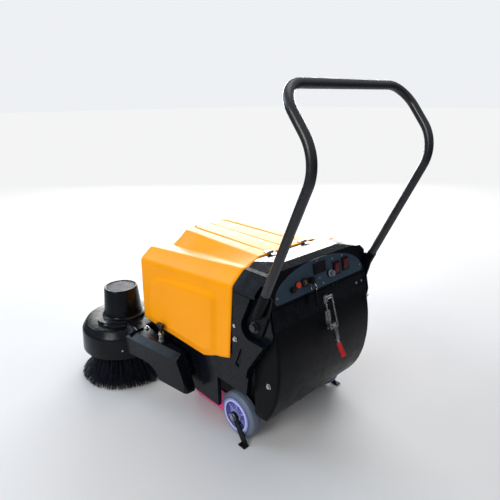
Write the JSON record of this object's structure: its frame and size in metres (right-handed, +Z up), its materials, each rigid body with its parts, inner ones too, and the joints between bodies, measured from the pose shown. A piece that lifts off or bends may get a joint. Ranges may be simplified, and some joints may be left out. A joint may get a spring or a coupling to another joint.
{
  "type": "walk-behind sweeper",
  "caption": "Walk-behind floor sweeper with an orange hinged hood, looped push handle, rear dirt hopper, main roller brush and a side brush on a swing-up arm.",
  "frame": {"origin": "on the floor under the middle of the wheel axle", "axes": "+X to the machine's right, +Y forward, away from the operator, +Z up"},
  "size_m": [0.7039, 1.0922, 1.057],
  "materials": {
    "frame_paint": "satin",
    "black_cover": "semi-gloss",
    "black_steel": "satin",
    "handle_paint": "satin",
    "hopper_plastic": "fine texture",
    "hood_orange": "semi-gloss",
    "panel_slate": "satin",
    "screen": "gloss",
    "lamp_lens": "gloss",
    "switch_black": "satin",
    "switch_red": "gloss",
    "button_orange": "gloss",
    "knob_silver": "brushed",
    "zinc": "zinc plated",
    "dark_bolt": "satin",
    "grip_red": "satin",
    "bearing_steel": "ground",
    "tyre_grey": "satin",
    "hub_lavender": "satin",
    "roller_steel": "turned",
    "bristle": "matte",
    "motor_dark": "satin",
    "belt_rubber": "matte",
    "skirt_pink": "satin",
    "battery_case": "satin",
    "filter_media": "pleated paper",
    "caster_rubber": "satin"
  },
  "bodies": {
    "chassis": {"chassis_frame": "frame_paint", "rear_crossmember": "black_cover", "side_panel_left": "black_cover", "side_panel_right": "black_cover", "front_panel": "black_cover", "console_cover": "black_cover", "control_panel": "panel_slate", "body_fasteners": "zinc", "charge_display": "screen", "indicator_lamp": "lamp_lens", "charge_socket": "switch_black", "panel_bezels": "switch_black", "hood_hinge_base": "zinc", "pivot_bolts": "dark_bolt", "latch_keeper": "zinc", "wheel_axle": "zinc", "axle_nuts": "zinc", "axle_bushes": "bearing_steel", "roller_bearings": "bearing_steel", "drive_motor": "motor_dark", "drive_belt": "belt_rubber", "dust_skirts": "skirt_pink", "battery": "battery_case", "suction_fan": "motor_dark", "filter_panel": "filter_media"},
    "hood": {"hood": "hood_orange", "hood_hinge_leaves": "zinc"},
    "handle": {"handle_tube": "handle_paint", "handle_brackets": "black_steel"},
    "hopper_unit": {"hopper": "hopper_plastic", "hopper_bolts": "zinc", "latch_base": "zinc"},
    "latch_arm": {"latch_lever": "zinc", "latch_grip": "grip_red"},
    "latch_loop": {"latch_u_bolt": "zinc"},
    "wheel_l": {"tyre_left": "tyre_grey", "hub_left": "hub_lavender"},
    "wheel_r": {"tyre_right": "tyre_grey", "hub_right": "hub_lavender"},
    "foot_l": {"foot_lever_left": "black_steel"},
    "foot_r": {"foot_lever_right": "black_steel"},
    "roller": {"roller_core": "roller_steel", "roller_bristles": "bristle"},
    "motor_shaft": {"motor_pulley": "zinc"},
    "caster_swivel_body": {"caster_fork": "zinc"},
    "caster_wheel_body": {"caster_wheel": "caster_rubber"},
    "side_arm": {"side_brush_arm": "black_cover", "brush_guard": "black_cover", "motor_cap": "black_cover", "side_brush_motor": "motor_dark", "arm_fittings": "zinc"},
    "side_brush": {"side_brush_plate": "black_steel", "side_bristles": "bristle"},
    "lift_screw": {"lift_knob": "switch_black"},
    "power_rocker": {"power_switch": "switch_red"},
    "brush_rocker": {"brush_switch": "switch_red"},
    "start_push": {"start_button": "button_orange"},
    "stop_push": {"stop_button": "switch_black"},
    "key_body": {"key": "switch_black"},
    "speed_dial": {"speed_knob": "knob_silver"}
  },
  "joints": [
    {"name": "hood_hinge", "type": "hinge", "parent": "chassis", "child": "hood", "pos_m": [0, -0.0085, 0.584], "axis": [1, 0, 0], "range_deg": [0, 62]},
    {"name": "handle_tilt", "type": "hinge", "parent": "chassis", "child": "handle", "pos_m": [0, -0.103, 0.428], "axis": [1, 0, 0], "range_deg": [0, 70]},
    {"name": "hopper_slide", "type": "slide", "parent": "chassis", "child": "hopper_unit", "axis": [0, -1, 0], "range_m": [0, 0.3]},
    {"name": "latch_lever_swing", "type": "hinge", "parent": "hopper_unit", "child": "latch_arm", "pos_m": [0.005, -0.18617, 0.38109], "axis": [-1, 0, 0], "range_deg": [0, 110]},
    {"name": "latch_loop_swing", "type": "hinge", "parent": "latch_arm", "child": "latch_loop", "pos_m": [0.005, -0.19528, 0.37694], "axis": [-1, 0, 0], "range_deg": [-126.5, 0]},
    {"name": "wheel_left_spin", "type": "hinge", "parent": "chassis", "child": "wheel_l", "pos_m": [-0.198, 0, 0.075], "axis": [1, 0, 0], "continuous": true},
    {"name": "wheel_right_spin", "type": "hinge", "parent": "chassis", "child": "wheel_r", "pos_m": [0.198, 0, 0.075], "axis": [1, 0, 0], "continuous": true},
    {"name": "foot_lever_left_swing", "type": "hinge", "parent": "chassis", "child": "foot_l", "pos_m": [-0.223, 0, 0.075], "axis": [-1, 0, 0], "range_deg": [0, 60]},
    {"name": "foot_lever_right_swing", "type": "hinge", "parent": "chassis", "child": "foot_r", "pos_m": [0.223, 0, 0.075], "axis": [-1, 0, 0], "range_deg": [0, 60]},
    {"name": "roller_spin", "type": "hinge", "parent": "chassis", "child": "roller", "pos_m": [0, 0.152, 0.101], "axis": [1, 0, 0], "continuous": true},
    {"name": "motor_pulley_spin", "type": "hinge", "parent": "chassis", "child": "motor_shaft", "pos_m": [0.185, 0.152, 0.262], "axis": [1, 0, 0], "continuous": true},
    {"name": "caster_swivel", "type": "hinge", "parent": "chassis", "child": "caster_swivel_body", "pos_m": [0, 0.38, 0.118], "axis": [0, 0, 1], "continuous": true},
    {"name": "caster_roll", "type": "hinge", "parent": "caster_swivel_body", "child": "caster_wheel_body", "pos_m": [0, 0.352, 0.04], "axis": [1, 0, 0], "continuous": true},
    {"name": "side_arm_lift", "type": "hinge", "parent": "chassis", "child": "side_arm", "pos_m": [-0.27, 0.19, 0.15], "axis": [1, 0, 0], "range_deg": [0, 6]},
    {"name": "side_brush_spin", "type": "hinge", "parent": "side_arm", "child": "side_brush", "pos_m": [-0.265, 0.602, 0.16], "axis": [0, 0, 1], "continuous": true},
    {"name": "lift_knob_turn", "type": "hinge", "parent": "side_arm", "child": "lift_screw", "pos_m": [-0.274, 0.316, 0.25], "axis": [0, 0, 1], "range_deg": [0, 330]},
    {"name": "power_rocker_tilt", "type": "hinge", "parent": "chassis", "child": "power_rocker", "pos_m": [0.07, -0.14181, 0.53209], "axis": [-1, 0, 0], "range_deg": [0, 16]},
    {"name": "brush_rocker_tilt", "type": "hinge", "parent": "chassis", "child": "brush_rocker", "pos_m": [0.113, -0.14117, 0.53502], "axis": [-1, 0, 0], "range_deg": [0, 16]},
    {"name": "start_button_press", "type": "slide", "parent": "chassis", "child": "start_push", "axis": [0, 0.9767, -0.2147], "range_m": [0, 0.0026], "stiffness_N_per_m": 400},
    {"name": "stop_button_press", "type": "slide", "parent": "chassis", "child": "stop_push", "axis": [0, 0.9767, -0.2147], "range_m": [0, 0.0026], "stiffness_N_per_m": 400},
    {"name": "key_turn", "type": "hinge", "parent": "chassis", "child": "key_body", "pos_m": [-0.054, -0.1467, 0.52804], "axis": [0, 0.9767, -0.2147], "range_deg": [0, 45]},
    {"name": "speed_dial_turn", "type": "hinge", "parent": "chassis", "child": "speed_dial", "pos_m": [0.036, -0.14929, 0.52554], "axis": [0, 0.9767, -0.2147], "range_deg": [0, 270]}
  ],
  "couplings": [
    {"joint": "latch_loop_swing", "follows": "latch_lever_swing", "ratio": -1.15},
    {"joint": "motor_pulley_spin", "follows": "roller_spin", "ratio": 2.5}
  ]
}
